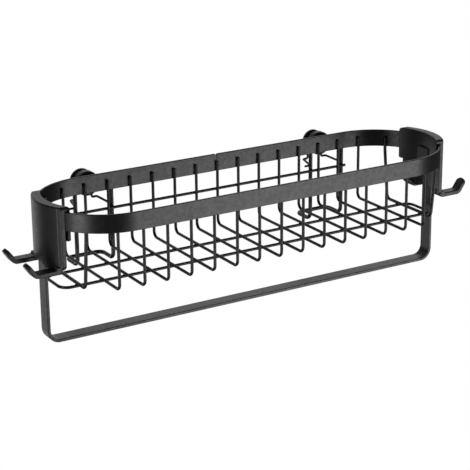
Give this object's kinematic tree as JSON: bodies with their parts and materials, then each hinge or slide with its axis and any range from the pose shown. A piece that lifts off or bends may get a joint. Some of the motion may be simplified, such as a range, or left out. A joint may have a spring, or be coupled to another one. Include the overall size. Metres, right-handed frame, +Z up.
{
  "type": "wall mounted wire basket with towel rail",
  "caption": "Long shallow wall hung wire basket with a flat rounded rim, upturned hooks on clips at both ends and a flat towel rail underneath.",
  "frame": {"origin": "on the wall face, midway between the two wall studs, at the studs' height", "axes": "+X along the basket, +Y into the wall, +Z up"},
  "size_m": [0.4238, 0.1341, 0.1169],
  "materials": {
    "rim_coat": "satin black powder coat",
    "basket_wire": "satin black powder coat",
    "frame_wire": "satin black powder coat",
    "rail_coat": "satin black powder coat",
    "stud": "satin black",
    "clip": "fine moulded texture, black",
    "pad": "matt acrylic foam tape"
  },
  "bodies": {
    "wall_studs": {"adhesive_pad_left": "pad", "wall_plate_left": "stud", "adhesive_pad_right": "pad", "wall_plate_right": "stud"},
    "knob_left": {"knob_left": "stud"},
    "knob_right": {"knob_right": "stud"},
    "basket": {"rim_band": "rim_coat", "floor_ring": "basket_wire", "back_wire": "basket_wire", "basket_wire_01": "basket_wire", "basket_wire_02": "basket_wire", "basket_wire_03": "basket_wire", "basket_wire_04": "basket_wire", "basket_wire_05": "basket_wire", "basket_wire_06": "basket_wire", "basket_wire_07": "basket_wire", "basket_wire_08": "basket_wire", "basket_wire_09": "basket_wire", "basket_wire_10": "basket_wire", "basket_wire_11": "basket_wire", "basket_wire_12": "basket_wire", "basket_wire_13": "basket_wire", "basket_wire_14": "basket_wire", "basket_wire_15": "basket_wire", "basket_wire_16": "basket_wire", "basket_wire_17": "basket_wire", "hanger_frame_left": "frame_wire", "hanging_loop_left": "frame_wire", "hanger_frame_right": "frame_wire", "hanging_loop_right": "frame_wire"},
    "rail_unit": {"hook_clip_left": "clip", "hook_clip_right": "clip", "towel_rail": "rail_coat"}
  },
  "joints": [
    {"name": "knob_left_turn", "type": "hinge", "parent": "wall_studs", "child": "knob_left", "pos_m": [-0.1153, -0.012, 0], "axis": [0, 1, 0], "continuous": true},
    {"name": "knob_right_turn", "type": "hinge", "parent": "wall_studs", "child": "knob_right", "pos_m": [0.1153, -0.012, 0], "axis": [0, 1, 0], "continuous": true},
    {"name": "basket_lift", "type": "slide", "parent": "wall_studs", "child": "basket", "axis": [0, 0, 1], "range_m": [0, 0.024]},
    {"name": "rail_unit_lift", "type": "slide", "parent": "basket", "child": "rail_unit", "axis": [0, 0, 1], "range_m": [0, 0.028]}
  ]
}
